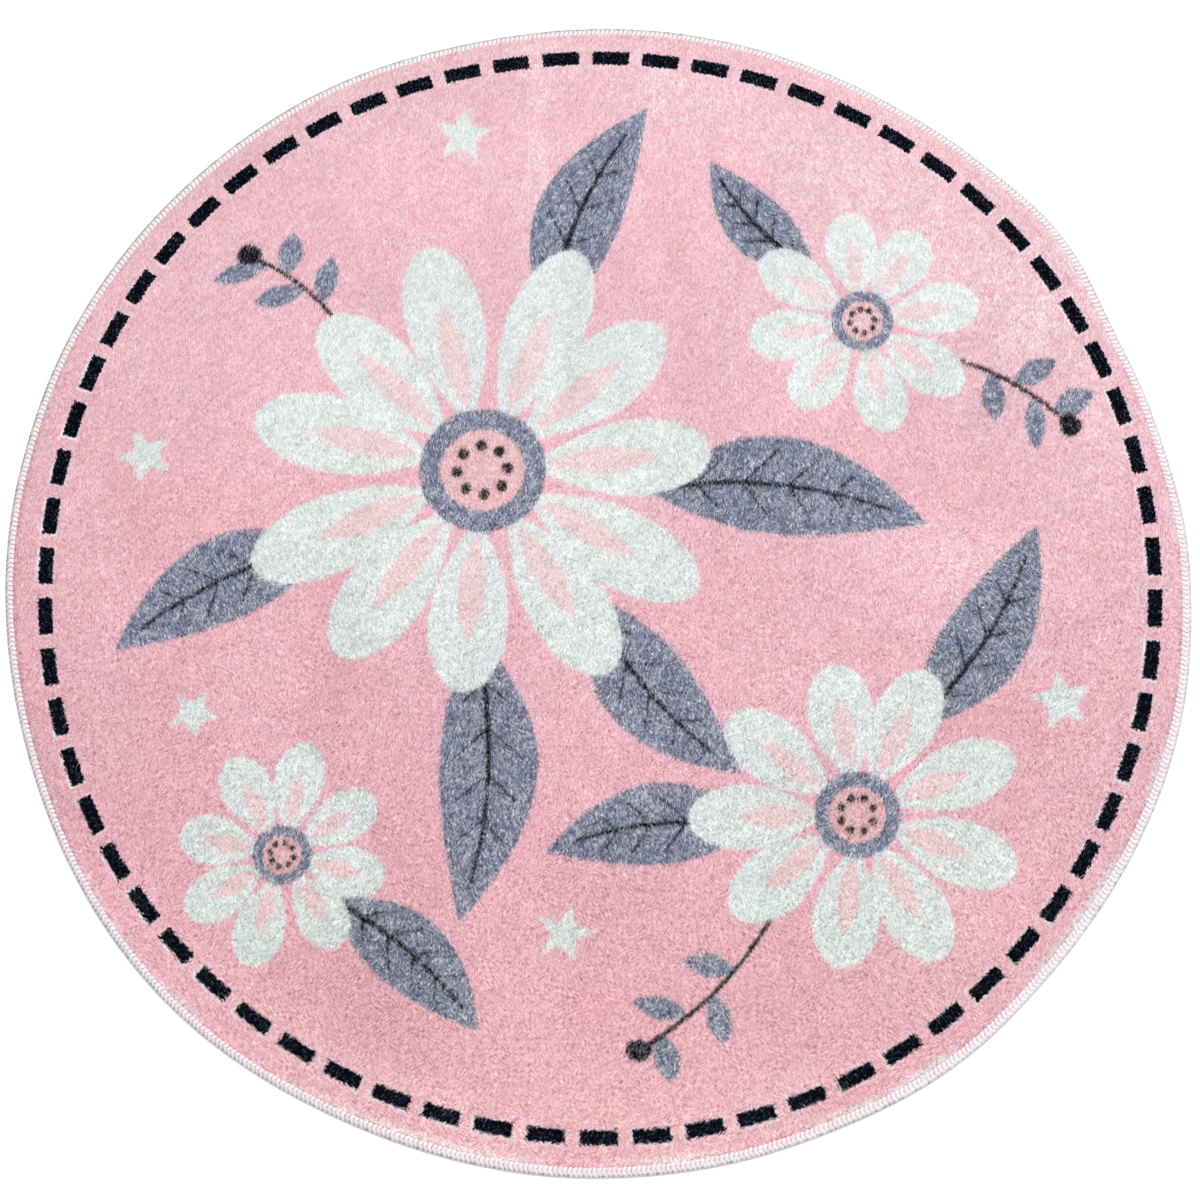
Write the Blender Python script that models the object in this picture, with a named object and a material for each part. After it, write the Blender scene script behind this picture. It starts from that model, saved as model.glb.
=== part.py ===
"""A round rug for a child's room: one disc of short-pile cloth with an overlocked edge.

Units are metres and +Z is up. The rug lies flat on the floor, pile side up. The origin is on the
floor, under the middle of the rug's box. Bearings are degrees counter-clockwise from +X.
"""

import math

import bmesh
import bpy

MM = 0.001

# Overall sizes
RUG_RADIUS = 500 * MM
BACK_LEVEL = 0 * MM
PILE_LEVEL = 7 * MM
COLUMNS = 144

# Hand cutting leaves the rim a little out of round: how far it stands out (+) or falls short (-)
# of RUG_RADIUS at each bearing, eased from one row to the next.
#   bearing in degrees, stand-out in mm
RIM_WAVER = [
    (0, 1.8),
    (16, -4.0),
    (24, -5.2),
    (37, 4.4),
    (48, -0.9),
    (57, -3.1),
    (80, -2.4),
    (98, -3.4),
    (123, 2.8),
    (152, 4.1),
    (168, 2.2),
    (197, -1.8),
    (222, 1.1),
    (248, -4.0),
    (270, -2.2),
    (288, -1.0),
    (306, 3.4),
    (317, 1.4),
    (344, 4.7),
]

# Overlocked edge: a band of thread round the rim, with a slot in its inner side for the cloth
BAND_WIDTH = 8 * MM
BAND_HEIGHT = 5 * MM
BAND_ROUNDING = 2.4 * MM
BAND_SIDE_STEPS = 6
BAND_LIP_DROP = 0.3 * MM
SLOT_LOW = BACK_LEVEL + 1.6 * MM
SLOT_HIGH = BAND_HEIGHT - 1.6 * MM
SLOT_INSET = 1.9 * MM

# Rim of the cloth: a thin tongue in the band's slot, and the pile's rounded shoulder over it
FREE_GAP = 0.3 * MM
TONGUE_LOW = SLOT_LOW + FREE_GAP
TONGUE_HIGH = SLOT_HIGH - FREE_GAP
TONGUE_INSET = SLOT_INSET + FREE_GAP
SHOULDER_INSET = BAND_WIDTH + FREE_GAP
SHOULDER_FOOT = BAND_HEIGHT + 0.2 * MM
SHOULDER_WIDTH = 7 * MM
SHOULDER_STEPS = 4

PILE_COLOUR = (0.80, 0.50, 0.54, 1.0)
THREAD_COLOUR = (0.84, 0.74, 0.74, 1.0)
SHARP_ANGLE = math.radians(40)


def clear_scene():
    for obj in list(bpy.data.objects):
        bpy.data.objects.remove(obj, do_unlink=True)


def rim_stand_out(bearing):
    """How far the rim stands out of RUG_RADIUS at this bearing, in metres."""
    rows = RIM_WAVER + [(RIM_WAVER[0][0] + 360, RIM_WAVER[0][1])]
    for (start, low), (end, high) in zip(rows, rows[1:]):
        if start <= bearing <= end:
            ease = (1 - math.cos(math.pi * (bearing - start) / (end - start))) / 2
            return (low + (high - low) * ease) * MM
    raise ValueError(f"no row of RIM_WAVER spans {bearing} degrees")


def rim_columns():
    """(cos, sin, radius) of the rim at each column."""
    columns = []
    for step in range(COLUMNS):
        bearing = 360 * step / COLUMNS
        angle = math.radians(bearing)
        columns.append((math.cos(angle), math.sin(angle), RUG_RADIUS + rim_stand_out(bearing)))
    return columns


def middle_of(columns):
    """The middle of the box round the rim."""
    across = [cos * radius for cos, _, radius in columns]
    along = [sin * radius for _, sin, radius in columns]
    return (min(across) + max(across)) / 2, (min(along) + max(along)) / 2


def add_ring(mesh, columns, inset, level):
    """A loop of points that follows the rim, this far inside it."""
    middle_x, middle_y = middle_of(columns)
    return [
        mesh.verts.new((cos * (radius - inset) - middle_x, sin * (radius - inset) - middle_y, level))
        for cos, sin, radius in columns
    ]


def join_rings(mesh, before, after):
    """The strip of faces between two loops, facing away from the rug's middle on a rising side."""
    for step in range(COLUMNS):
        following = (step + 1) % COLUMNS
        mesh.faces.new((before[step], before[following], after[following], after[step]))


def close_with_fan(mesh, ring, level, facing_up):
    """Closes a loop to a point at the rug's middle."""
    centre = mesh.verts.new((0, 0, level))
    for step in range(COLUMNS):
        corners = (ring[step], ring[(step + 1) % COLUMNS], centre)
        mesh.faces.new(corners if facing_up else corners[::-1])


def pile_cloth_section():
    """(inset, level) points of the cloth's rim, from its back, round the tongue, to the pile's top."""
    section = [
        (SHOULDER_INSET, BACK_LEVEL),
        (SHOULDER_INSET, TONGUE_LOW),
        (TONGUE_INSET, TONGUE_LOW),
        (TONGUE_INSET, TONGUE_HIGH),
        (SHOULDER_INSET, TONGUE_HIGH),
    ]
    for step in range(SHOULDER_STEPS + 1):
        turn = math.pi / 2 * step / SHOULDER_STEPS
        inset = SHOULDER_INSET + SHOULDER_WIDTH * (1 - math.cos(turn))
        level = SHOULDER_FOOT + (PILE_LEVEL - SHOULDER_FOOT) * math.sin(turn)
        section.append((inset, level))
    return section


def edge_overlock_section():
    """(inset, level) points round the band: its back, rounded outer side and top, then the slot."""
    middle = (BACK_LEVEL + BAND_HEIGHT) / 2
    section = [(BAND_WIDTH, BACK_LEVEL)]
    for step in range(BAND_SIDE_STEPS + 1):
        turn = math.pi * (step / BAND_SIDE_STEPS - 0.5)
        inset = BAND_ROUNDING * (1 - math.cos(turn))
        section.append((inset, middle + (BAND_HEIGHT - middle) * math.sin(turn)))
    section += [
        (BAND_WIDTH, BAND_HEIGHT - BAND_LIP_DROP),
        (BAND_WIDTH, SLOT_HIGH),
        (SLOT_INSET, SLOT_HIGH),
        (SLOT_INSET, SLOT_LOW),
        (BAND_WIDTH, SLOT_LOW),
    ]
    return section


def make_material(name, colour, roughness):
    material = bpy.data.materials.new(name)
    material.use_nodes = True
    shader = material.node_tree.nodes["Principled BSDF"]
    shader.inputs["Base Color"].default_value = colour
    shader.inputs["Roughness"].default_value = roughness
    shader.inputs["Metallic"].default_value = 0.0
    return material


def finish_object(name, mesh, material):
    data = bpy.data.meshes.new(name)
    mesh.to_mesh(data)
    mesh.free()
    data.materials.append(material)
    data.shade_smooth()
    data.set_sharp_from_angle(angle=SHARP_ANGLE)
    obj = bpy.data.objects.new(name, data)
    bpy.context.scene.collection.objects.link(obj)
    return obj


def make_pile_cloth(columns):
    mesh = bmesh.new()
    rings = [add_ring(mesh, columns, inset, level) for inset, level in pile_cloth_section()]
    close_with_fan(mesh, rings[0], BACK_LEVEL, facing_up=False)
    for before, after in zip(rings, rings[1:]):
        join_rings(mesh, before, after)
    close_with_fan(mesh, rings[-1], PILE_LEVEL, facing_up=True)
    return finish_object("pile_cloth", mesh, make_material("rose_pile", PILE_COLOUR, 0.95))


def make_edge_overlock(columns):
    mesh = bmesh.new()
    rings = [add_ring(mesh, columns, inset, level) for inset, level in edge_overlock_section()]
    for before, after in zip(rings, rings[1:] + rings[:1]):
        join_rings(mesh, before, after)
    return finish_object("edge_overlock", mesh, make_material("edge_thread", THREAD_COLOUR, 0.8))


def make_rug():
    clear_scene()
    columns = rim_columns()
    make_pile_cloth(columns)
    make_edge_overlock(columns)


make_rug()
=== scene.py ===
"""Looks of a round kids rug: printed short pile, an overlocked edge in pale thread, a woven back.

Units are metres, in the CAD frame: +Z is up, out of the pile, and +Y is the top of the print.
Tables give places and sizes on the rug in mm, and bearings in degrees counter-clockwise from +X.
"""

import math

import bpy
import numpy as np
from mathutils import Matrix, Vector


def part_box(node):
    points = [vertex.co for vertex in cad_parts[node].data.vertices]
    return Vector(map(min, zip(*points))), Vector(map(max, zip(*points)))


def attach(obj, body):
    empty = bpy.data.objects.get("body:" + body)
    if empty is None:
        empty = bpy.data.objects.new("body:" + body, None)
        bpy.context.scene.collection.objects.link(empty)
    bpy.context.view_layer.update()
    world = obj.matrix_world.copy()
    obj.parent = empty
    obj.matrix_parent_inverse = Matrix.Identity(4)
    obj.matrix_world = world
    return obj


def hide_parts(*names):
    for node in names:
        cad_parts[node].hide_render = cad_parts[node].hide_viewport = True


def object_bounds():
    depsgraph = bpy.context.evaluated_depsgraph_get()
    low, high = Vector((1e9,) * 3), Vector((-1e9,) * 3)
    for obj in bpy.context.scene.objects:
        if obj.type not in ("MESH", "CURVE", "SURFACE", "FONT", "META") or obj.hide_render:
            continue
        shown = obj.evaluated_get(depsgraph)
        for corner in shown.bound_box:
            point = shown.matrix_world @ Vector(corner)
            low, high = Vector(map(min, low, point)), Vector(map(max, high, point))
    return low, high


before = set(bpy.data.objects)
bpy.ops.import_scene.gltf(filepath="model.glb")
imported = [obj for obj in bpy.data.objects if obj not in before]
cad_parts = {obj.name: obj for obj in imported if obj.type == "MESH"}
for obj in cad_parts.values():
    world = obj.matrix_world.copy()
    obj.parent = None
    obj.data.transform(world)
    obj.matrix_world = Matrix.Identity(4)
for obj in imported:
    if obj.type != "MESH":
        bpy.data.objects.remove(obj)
CAD_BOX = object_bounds()

MM = 0.001
CLOTH_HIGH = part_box("pile_cloth")[1]
BAND_LOW, BAND_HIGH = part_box("edge_overlock")
FLOOR_LEVEL = CAD_BOX[0][2]
PILE_LEVEL = CLOTH_HIGH[2]
BAND_LEVEL = BAND_HIGH[2]
BAND_WIDTH = 8.0 * MM
RUG_WIDTH = BAND_HIGH[0] - BAND_LOW[0]
RUG_LENGTH = BAND_HIGH[1] - BAND_LOW[1]

# ------------ camera, light and floor
VIEW_TILT = 12.5
VIEW_BEARING = 5.6
VIEW_DISTANCE = 2.45
VIEW_TARGET = (3.8 * MM, -18.3 * MM, 0.0)
VIEW_ROLL = -0.6
LENS_MM = 87.0
SENSOR_MM = 36.0
KEY_LIGHT_PLACE = (0.2, 0.60, 2.42)
KEY_LIGHT_WIDTH = 1.4
KEY_LIGHT_WATTS = 43.4
WORLD_STRENGTH = 0.632
FLOOR_HALF_WIDTH = 6.0
FLOOR_GREY = (0.93, 0.93, 0.93, 1)

# ------------ the print
# Inks: linear red, green and blue, then how much of the undyed pile shows through
PINK = (0.778, 0.441, 0.503, 0.10)
OFF_WHITE = (0.695, 0.735, 0.730, 0.0)
PALE_PINK = (0.775, 0.600, 0.610, 0.05)
BLUSH = (0.740, 0.450, 0.460, 0.08)
BLUE_GREY = (0.135, 0.158, 0.245, 0.58)
NAVY = (0.002, 0.003, 0.008, 0.012)
NAVY_FLECK = (0.12, 0.14, 0.20)
BRIGHT_FLECK = (0.58, 0.68, 0.80)
FRINGE = (0.80, 0.76, 0.78)
UNDYED = (0.81, 0.79, 0.815)
# Low on the rug the print is lighter and warmer: by how much, from where below the middle and over
# what distance
LOW_TINT = (1.035, 1.05, 0.99)
LOW_TINT_START = 200 * MM
LOW_TINT_SPAN = 250 * MM

# Dashed ring along the rim, and the bearing of its first dash
RING_MIDDLE = (1.5 * MM, 2.9 * MM)
RING_RADIUS = 468.4 * MM
DASHES = 67
FIRST_DASH = 1.2
DASH_LENGTH = 32.2 * MM
DASH_WIDTH = 12.3 * MM
DASH_CORNER = 1.2 * MM
# The printed rug stretched, so the dashes creep along the ring and the ring swells and shrinks:
# waves in one turn, size in mm, phase in degrees
RING_CREEP = [(1, 4.3, -11), (2, 2.7, -54), (3, 1.3, 88)]
RING_SWELL = [(2, 2.1, 160), (3, 0.9, 19), (4, 0.8, -73), (5, 0.8, 158)]
# Undyed rim round each dash, where the print slipped to one side
DASH_FRINGE = 1.2 * MM
PRINT_SLIP = (-0.7 * MM, -0.5 * MM)
PRINT_BLUR = 0.5 * MM
DASH_FRAY = 5.0 * MM

# Daisies: x, y and reach in mm, number of petals, turn in degrees
DAISIES = [
    (-95, 95, 212, 11, 4),
    (215, -205, 140, 9, 20),
    (232, 222, 104, 8, 9),
    (-262, -232, 96, 8, 31),
]
# Shares of a daisy's reach: where its petals start, where the pale stroke on each starts past that,
# how long the stroke is, and the heart
PETAL_FOOT = 0.2
STROKE_FOOT = 0.06
STROKE_LENGTH = 0.46
HEART_RADIUS = 0.255
# A petal's half width as a share of its room, and the stroke's as a share of the petal's
PETAL_WIDTH = 0.56
STROKE_WIDTH = 0.34
# Share of a petal's length where it is widest, its swing in degrees and how uneven its length is
PETAL_BELLY = 0.6
PETAL_SWING = 2.5
PETAL_UNEVEN = 0.045
# Shares of the heart: its blush middle, the ring of dots on it and each dot, which is a little wider
BLUSH_RADIUS = 0.66
DOT_RING = 0.40
DOT_RADIUS = 0.075
DOT_EXTRA = 0.8 * MM
HEART_DOTS = 8

# Leaves: the daisy they grow from, bearing in degrees, then foot, length, half width and bend in mm
LEAVES = [
    (0, 352, 140, 240, 43, 18),
    (0, 309, 140, 200, 38, -14),
    (0, 267, 140, 245, 41, 18),
    (0, 206, 140, 205, 37, -14),
    (0, 66, 140, 215, 37, 16),
    (1, 186, 80, 180, 34, -12),
    (1, 57, 85, 205, 35, -14),
    (2, 131, 60, 135, 27, 9),
    (3, 318, 55, 165, 31, 10),
]
LEAF_BELLY = 0.45
RIB_HALF_WIDTH = 2.8 * MM
VEIN_HALF_WIDTH = 1.25 * MM
# Shares of a leaf's length: where its rib and its veins end, and from one vein to the next
RIB_END = 0.87
VEIN_END = 0.82
VEIN_PITCH = 0.16
# How much thinner the rib is at the tip, the slant and the shift of the veins, and the border that
# they leave free, as a share of the leaf's half width
RIB_THINNING = 0.55
VEIN_SLANT = 0.9
VEIN_SHIFT = 0.4
VEIN_BORDER = 0.30

# Sprigs: the daisy they grow from, bearing in degrees, then foot, length and bend in mm
SPRIGS = [
    (0, 136, 150, 132, -12),
    (1, 226, 90, 175, 14),
    (2, 331, 60, 138, 11),
]
# Half width of the stalk, and radius of the berry at its end
SPRIG_STALK = 1.9 * MM
SPRIG_BERRY = 10 * MM
# Where the leaves of a sprig grow, as shares of its length, then how far they lean out in degrees
SPRIG_LEAVES = (0.42, 0.57, 0.72, 0.87)
SPRIG_LEAF_LEAN = 58
SPRIG_LEAF_LENGTH = 44 * MM
SPRIG_LEAF_HALF_WIDTH = 10 * MM

# Stars: x, y and reach in mm, turn in degrees
STARS = [
    (-112, 398, 27, 12),
    (-384, 112, 25, 40),
    (-28, -300, 25, 3),
    (388, -112, 27, 25),
    (-338, -112, 22, 60),
]
# How far out the notches of a star lie, as a share of its reach
STAR_NOTCH = 0.45

# ------------ pile, ground and back
PILE_PIECES = 4
TUFT_PITCH = 1.92 * MM
TUFT_LENGTH = 5.2 * MM
TUFT_WIDTH = 1.9 * MM
TUFT_UNEVEN = 0.45 * MM
TUFT_JITTER = 0.4
TUFT_STRAY = 0.30
# Shortest and longest, narrowest and widest tuft, as shares of those sizes. Nearer to the band than
# TUFT_ROOM they are shortened, at most to this share
TUFT_LENGTHS = (0.7, 1.3)
TUFT_WIDTHS = (0.75, 1.25)
TUFT_SHORTENED = 0.55
TUFT_ROOM = 3 * MM
TUFT_ROLL = 0.25 * MM
# A tuft's root, two front feet and top: share of the length ahead and of the half width to the
# side, depth below the top, and which way it rolls
TUFT_CORNERS = [
    (-0.5, 0, 1.5 * MM, 0),
    (0.36, -1, 1.8 * MM, 1),
    (0.36, 1, 1.8 * MM, -1),
    (0.28, 0, 0.0, 0),
]
TUFT_FACES = [(0, 1, 3), (0, 3, 2), (1, 2, 3)]
# Where each corner takes its colour, ahead and to the side, then how light it is painted, as painted
# light on the top and painted shade at the root and feet, how pale, with painted sheen, and how much
# deeper its colour is painted in that shade
TUFT_DYES_AND_SHADE = [
    (-0.15, 0, 0.89, 0.3, 0.2),
    (0.33, -0.8, 0.83, 0.2, 0.3),
    (0.33, 0.8, 0.83, 0.2, 0.3),
    (0.28, 0, 1.14, 1.8, 0),
]
GROUND_DEPTH = 1.5 * MM
GROUND_CELLS = 190
# How light the ground is painted against the pile: darker, as painted shade under the tufts
GROUND_LIGHT = 0.85
# The pressed edge of the ground under the thread: inset from the rim and height, in mm
PRESSED_EDGE = [(7.4, 4.8), (5.8, 4.8), (4.0, 4.5), (2.4, 3.75), (1.4, 2.9), (0.9, 2.0), (2.2, 0.9)]
BACK_CELLS = 72
BACK_LOW, BACK_HIGH = 0.1 * MM, 1.3 * MM
BACK_INSET = 7.8 * MM
BACK_COLOUR = (0.62, 0.57, 0.50)
BACK_THREADS = 400

# The nap's bearing, and noise that swings it: degrees each way, patch width in mm and seed
NAP_BEARING = -93
NAP_SWING = [(30, 170, 21), (26, 42, 22)]
OUTWARD_LEAN = 0.85
OUTWARD_REACH = 4 * MM
STRAND_LENGTH = 3.9 * MM
STRAND_WIDTH = 0.7 * MM
STRAND_CURL = 0.4
# Degrees by which strands fan out to both sides of the nap: mostly, and where they are crossed
STRAND_FANS = (18, 46)
# How much painted shade the gaps and painted highlight the tips get. In a gap the ink is multiplied by
# a dimmed copy of itself, and at a tip light is added to it
STRAND_GAPS = 0.75
STRAND_TIPS = 1.0
GAP_SLOPE, GAP_BASE = 0.75, 0.12
TIP_LIGHT = 0.17
# How the strands' contrast, their drag on the dashes' edges and the dashes' fringe change up the
# rug: from one height to another, from one strength to another
STRAND_CONTRAST = (-450 * MM, 450 * MM, 1.65, 0.55)
STRAND_FRAY = (-400 * MM, 100 * MM, 1.8, 0.5)
FRINGE_SHOWS = (200 * MM, 420 * MM, 1, 0.35)

# Noise in the pile's material, in features a metre
LOCKS = 60
CROSSED_PATCHES = 40
LOOSE_FIBRES = 480
FRINGE_PATCHES = 70
RARE_FLECKS = 750
FINE_FIBRES = 1800
# Where such noise starts to count and where it counts in full
PATCH_NOISE = (0.44, 0.56)
GAP_NOISE = (0.50, 0.32)
TIP_NOISE = (0.51, 0.68)
STREAK_NOISE = (0.58, 0.76)
FRINGE_NOISE = (0.36, 0.66)
FLECK_NOISE = (0.67, 0.73)
FLECK_THICKNESS = 0.5
# How much more the strands are crossed for each metre down the rug
CROSSED_DOWN = 0.35

# How far the dye varies from tuft to tuft, how much more on off-white and how much less at the top
DYE_SPREAD = 0.13
WHITE_SPREAD = 0.8
TOP_CALM = 0.35
TOP_CALM_SPAN = 400 * MM
# Share of the tufts that took little dye, and how much undyed pile they show
FLECKS = 0.02
FLECK_SHOW = 0.2
# How much of the pale fibre a tuft shows at the least, and how much luck adds: anywhere, at the rim
PALE_LEAST, PALE_LUCK = 0.1, 1.8
RIM_LEAST, RIM_LUCK = 0.5, 0.6
# Inks with more red than LIGHT_INK are light ones. Only off-white has more green than WHITE_INK
LIGHT_INK = 0.5
WHITE_INK = 0.7
# How pale the pile is painted, as painted sheen: in the middle, how much more so at the top and at the
# right, and at most
HALF_RUG = 500 * MM
PALE_MIDDLE = 0.17
PALE_TO_TOP = 0.10
PALE_TO_RIGHT = 0.04
PALE_MOST = 0.5
# Noise in how pale and in how light it is: share each way, patch width in mm and seed
PALE_NOISE = [(0.04, 70, 35)]
SHADE_NOISE = [(0.035, 90, 31), (0.03, 12, 32)]
# Painted shade towards the top and painted light towards the bottom, as a share at the top
SHADE_TO_TOP = -0.02
STREAKS = 0.02
SHOULDER_WIDTH = 6.0 * MM
SHOULDER_DROP = 1.3 * MM
SHOULDER_LESS_AT_TOP = 0.5
SWELL = 0.15 * MM
SWELL_WIDTH = 60 * MM

# Troughs where the rug was folded: x and y of both ends, half width and depth, all in mm
CREASES = [
    (205, 38, 300, 118, 9, 0.5),
    (300, 122, 432, 196, 8, 0.8),
    (318, 142, 400, 212, 7, 0.6),
    (236, -48, 322, -86, 10, 0.7),
    (322, -86, 470, -14, 12, 0.6),
    (-462, 66, -330, -44, 12, 0.5),
    (-410, -150, -250, -262, 12, 0.5),
    (-262, -118, -132, -282, 10, 0.6),
    (-484, 90, -448, 84, 7, 0.7),
    (-1, 488, 2, 452, 6, 0.5),
]
# How far a trough wavers to both sides, and how long each waver is
CREASE_WAVER = 6 * MM
WAVER_LENGTH = 55 * MM
# How much painted shade darkens a trough, for each metre of its depth
CREASE_SHADE = 60

# What one percent of brushing does: turns the nap by degrees, and paints it lighter and paler, as
# painted light and sheen
BRUSH_TURN = 6
BRUSH_LIGHT = 0.01
BRUSH_PALE = 0.02
# Brushed patches: x, y, half length and half width in mm, bearing in degrees, percent of painted light
# (below 0, painted shade)
NAP_MARKS = [
    (386, 226, 60, 36, 60, 5),
    (425, 150, 50, 22, 100, 4),
    (330, 8, 95, 34, 160, 4),
    (300, -60, 60, 12, 155, 3),
    (330, -120, 110, 34, 20, -3),
    (286, 166, 90, 14, 40, -3),
    (-44, 330, 190, 9, 92, 4),
    (-82, 300, 170, 9, 95, -2),
    (-12, 240, 150, 10, 86, -3),
    (84, 240, 90, 16, 100, -3),
    (150, 400, 120, 30, 150, 3),
    (60, 440, 60, 14, 95, 2),
    (-215, -40, 120, 20, 84, -4),
    (-390, 60, 90, 22, 120, -3),
    (-300, -290, 110, 50, 150, -1),
    (-250, -180, 120, 26, 125, 3),
    (-200, -330, 80, 22, 120, -2),
    (141, -266, 50, 20, 110, -3),
    (300, -300, 110, 40, 40, 2),
    (0, -420, 170, 30, 0, 2),
    (0, -462, 170, 26, 0, 5),
    (-190, -420, 120, 26, 156, 5),
    (-335, -320, 110, 24, 135, 4),
    (170, -430, 100, 24, 22, 3),
    (270, 290, 110, 70, 135, 4),
    (-430, 20, 170, 50, 95, 2),
]

# How the rim looks towards each bearing: the bearing in degrees, grey painted shade on the outer
# thread, width of the band in mm, then how pale the pile beside it is, how light it is painted there as
# painted light and shade, and how far in that reaches in mm
RIM_LOOKS = [
    (0, 0.5, 8.0, 0.9, 1.05, 5.5),
    (45, 0.5, 7.0, 0.75, 1.05, 6),
    (90, 0.95, 7.0, 0.0, 1.01, 4),
    (135, 1.1, 8.0, 0.0, 0.98, 4),
    (180, 1.1, 7.1, 0.0, 0.92, 4),
    (225, 1.1, 6.9, 0.7, 1.08, 7),
    (270, 0.6, 8.0, 1.1, 1.12, 7),
    (315, 0.3, 8.4, 1.3, 0.93, 6),
]

# ------------ sewn edge
STITCHES = 775
THREAD_SIDES = 6
# Noise in the thread's material, in features a metre
THREAD_FLUFF = 1400
# The thread along one stitch: inset from the rim, height, half width and half thickness in mm, then
# how much grey painted shade it takes
STITCH_WRAP = [
    (7.9, 4.6, 1.2, 0.4, 0),
    (6.3, 4.8, 1.5, 0.4, 0),
    (4.4, 4.7, 1.95, 0.34, 0.08),
    (2.4, 3.95, 2.7, 0.26, 0.45),
    (1.9, 3.62, 3.1, 0.26, 0.85),
    (1.5, 3.3, 3.2, 0.26, 1),
    (0.8, 2.5, 3.2, 0.26, 0.3),
    (0.5, 1.6, 3.1, 0.26, 0.1),
    (1.1, 0.85, 2.8, 0.26, 0.1),
    (3.0, 0.6, 2.1, 0.4, 0.1),
    (7.9, 0.8, 1.3, 0.4, 0),
]
THREAD_LOWEST = 0.6 * MM
# How far a stitch and a loop slant to each side, as shares of the pitch
STITCH_SLANT = 0.3
LOOP_SLANT = 0.22
# How far chance shifts a stitch along the rim, as a share of the pitch, and inward and up
STITCH_STRAY = 0.03
STITCH_STRAY_IN = 0.07 * MM
STITCH_STRAY_UP = 0.05 * MM
STITCH_WIDTHS = (0.94, 1.06)
# The loops of the chain: steps along one, inset of its middle, half length and chance shift in mm
LOOP_STEPS = 7
LOOP_INSET = 6.5
LOOP_REACH = 1.9
LOOP_STRAY = 0.2
LOOP_HALF_WIDTH = 1.4 * MM
LOOP_HALF_HEIGHT = 0.8 * MM
# How far its middle rises above the band and its ends dip from there in mm, and how thin they get
LOOP_RISE = 0.2
LOOP_DIP = 0.5
LOOP_THINNING = 0.75
THREAD_WHITE = (0.88, 0.855, 0.87)
THREAD_PINK = (0.86, 0.75, 0.79)
# Grey for the painted shade on the thread's outer side and on its shaded flank
THREAD_SHADED_GREY = (0.25, 0.235, 0.215)
# Pinkish painted shade on the flanks of stitches and loops, where they meet their neighbours
THREAD_FLANK = (0.93, 0.80, 0.85)
LOOP_FLANK = (0.88, 0.64, 0.74)
UNDER_THREAD = (0.88, 0.66, 0.72)
# Round a thread's section: which corners are its flanks, and how the grey painted shade gathers on
# the second one
FLANKS = (1, 0, 0, 1, 0, 0)
SHADE_GATHERED = (0.1, 0.2, 2.0, 2.6, 2.0, 0.2)
# The least and the most shaded stitch, and how much darker the thread is painted at the top, as
# painted shade
SHADE_LUCK = (0.65, 1.15)
DARKER_AT_TOP = 0.08


def smooth_noise(x, y, cell, seed):
    """Soft noise from -1 to 1 whose patches are about cell wide."""
    size = 256
    grid = np.random.default_rng(seed).uniform(-1, 1, (size, size))
    u, v = x / cell + size / 2, y / cell + size / 2
    i, j = np.floor(u).astype(int), np.floor(v).astype(int)
    u, v = u - i, v - j
    u, v = u * u * (3 - 2 * u), v * v * (3 - 2 * v)
    i, j, after_i, after_j = i % size, j % size, (i + 1) % size, (j + 1) % size
    low = grid[i, j] * (1 - u) + grid[after_i, j] * u
    high = grid[i, after_j] * (1 - u) + grid[after_i, after_j] * u
    return low * (1 - v) + high * v


def layered_noise(x, y, layers):
    """Noise in layers: size each way, patch width in mm and seed of each."""
    return sum(size * smooth_noise(x, y, cell * MM, seed) for size, cell, seed in layers)


# ------------ the rim, read from the CAD band
def rim_table():
    """(angles, radii) of the band's outermost points, in order of angle."""
    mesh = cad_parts["edge_overlock"].data
    points = np.empty(len(mesh.vertices) * 3)
    mesh.vertices.foreach_get("co", points)
    points = points.reshape(-1, 3)
    middle = (BAND_LOW[2] + BAND_HIGH[2]) / 2
    points = points[np.abs(points[:, 2] - middle) < 0.1 * MM]
    angles, first = np.unique(np.arctan2(points[:, 1], points[:, 0]).round(5), return_index=True)
    return angles, np.hypot(points[first, 0], points[first, 1])


RIM_ANGLES, RIM_RADII = rim_table()


def rim_radius(angle):
    """How far out the rim lies towards each angle."""
    return np.interp(angle, RIM_ANGLES, RIM_RADII, period=math.tau)


def rim_look(angle):
    """Painted thread shade, width in metres, paleness, painted light and reach in metres, by angle."""
    bearings, thread_shade, width, pale, light, reach = np.array(RIM_LOOKS).T
    towards = np.degrees(angle)
    looks = (thread_shade, width * MM, pale, light, reach * MM)
    return [np.interp(towards, bearings, look, period=360) for look in looks]


def band_width(angle):
    """How wide the band is towards each angle, in metres."""
    return rim_look(angle)[1]


def inside_band(x, y):
    """How far inside the band's inner edge each point lies: below 0 on the band."""
    angle = np.arctan2(y, x)
    return rim_radius(angle) - np.hypot(x, y) - band_width(angle)


def rim_point(angle, inset, level):
    """Points this far inside the rim, as rows of x, y, z."""
    radius = rim_radius(angle) - inset
    return np.stack(np.broadcast_arrays(radius * np.cos(angle), radius * np.sin(angle), level), -1)


# ------------ painting the print
def turned(x, y, foot, bearing):
    """(along, across) of each point, seen from foot, in mm, along a bearing in degrees."""
    angle = math.radians(bearing)
    dx, dy = x - foot[0] * MM, y - foot[1] * MM
    return dx * math.cos(angle) + dy * math.sin(angle), dy * math.cos(angle) - dx * math.sin(angle)


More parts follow.
